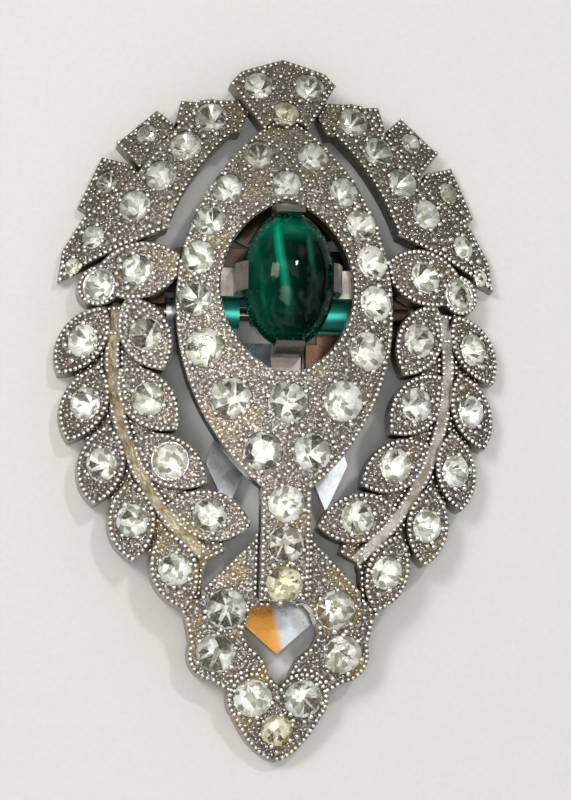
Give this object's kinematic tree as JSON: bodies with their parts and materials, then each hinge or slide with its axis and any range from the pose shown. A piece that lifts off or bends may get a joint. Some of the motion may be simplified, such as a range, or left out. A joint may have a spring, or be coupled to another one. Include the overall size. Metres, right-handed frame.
{
  "type": "brooch",
  "caption": "Openwork shield-shaped costume clip brooch, domed and pave-set with paste stones round an oval green glass cabochon, with a sprung hinged clip on the back.",
  "frame": {"origin": "on the middle line, below the middle of the brooch's plan, in the plane that its rim rests on", "axes": "+Z out of the front face, +Y towards the finial, +X to the right as seen from the front"},
  "size_m": [0.0464, 0.0726, 0.0148],
  "materials": {
    "plated_casting": "rhodium-plated pot metal, dark antiquing in the recesses",
    "polished_strip": "polished plated sheet brass",
    "rivet_metal": "plated brass",
    "steel": "drawn steel wire, plated",
    "spring_steel": "tempered spring wire",
    "green_glass": "transparent emerald-green glass, fire polished",
    "paste": "colourless foil-backed lead glass, slightly yellowed"
  },
  "bodies": {
    "root": {"centre_frame": "plated_casting", "finial": "plated_casting", "crown_left": "plated_casting", "crown_right": "plated_casting", "wing_left": "plated_casting", "wing_right": "plated_casting", "spray_left": "plated_casting", "spray_right": "plated_casting", "bow_left": "plated_casting", "bow_right": "plated_casting", "drop": "plated_casting", "cabochon_setting": "polished_strip", "cabochon": "green_glass", "frame_stones": "paste", "stem_stones": "paste", "finial_stones": "paste", "crown_stones_left": "paste", "crown_stones_right": "paste", "wing_stones_left": "paste", "wing_stones_right": "paste", "spray_stones_left": "paste", "spray_stones_right": "paste", "bow_stones": "paste", "drop_stones": "paste", "clip_base": "polished_strip", "clip_rivets": "rivet_metal", "hinge_pin": "steel", "clip_spring": "spring_steel"},
    "flap": {"clip_flap": "polished_strip"}
  },
  "joints": [
    {"name": "flap_hinge", "type": "hinge", "parent": "root", "child": "flap", "pos_m": [0, 0.0098, 0.0026], "axis": [1, 0, 0], "range_deg": [0, 30], "stiffness_Nm_per_rad": 0.01, "springref_deg": -20.05, "deforming": ["clip_spring"]}
  ]
}
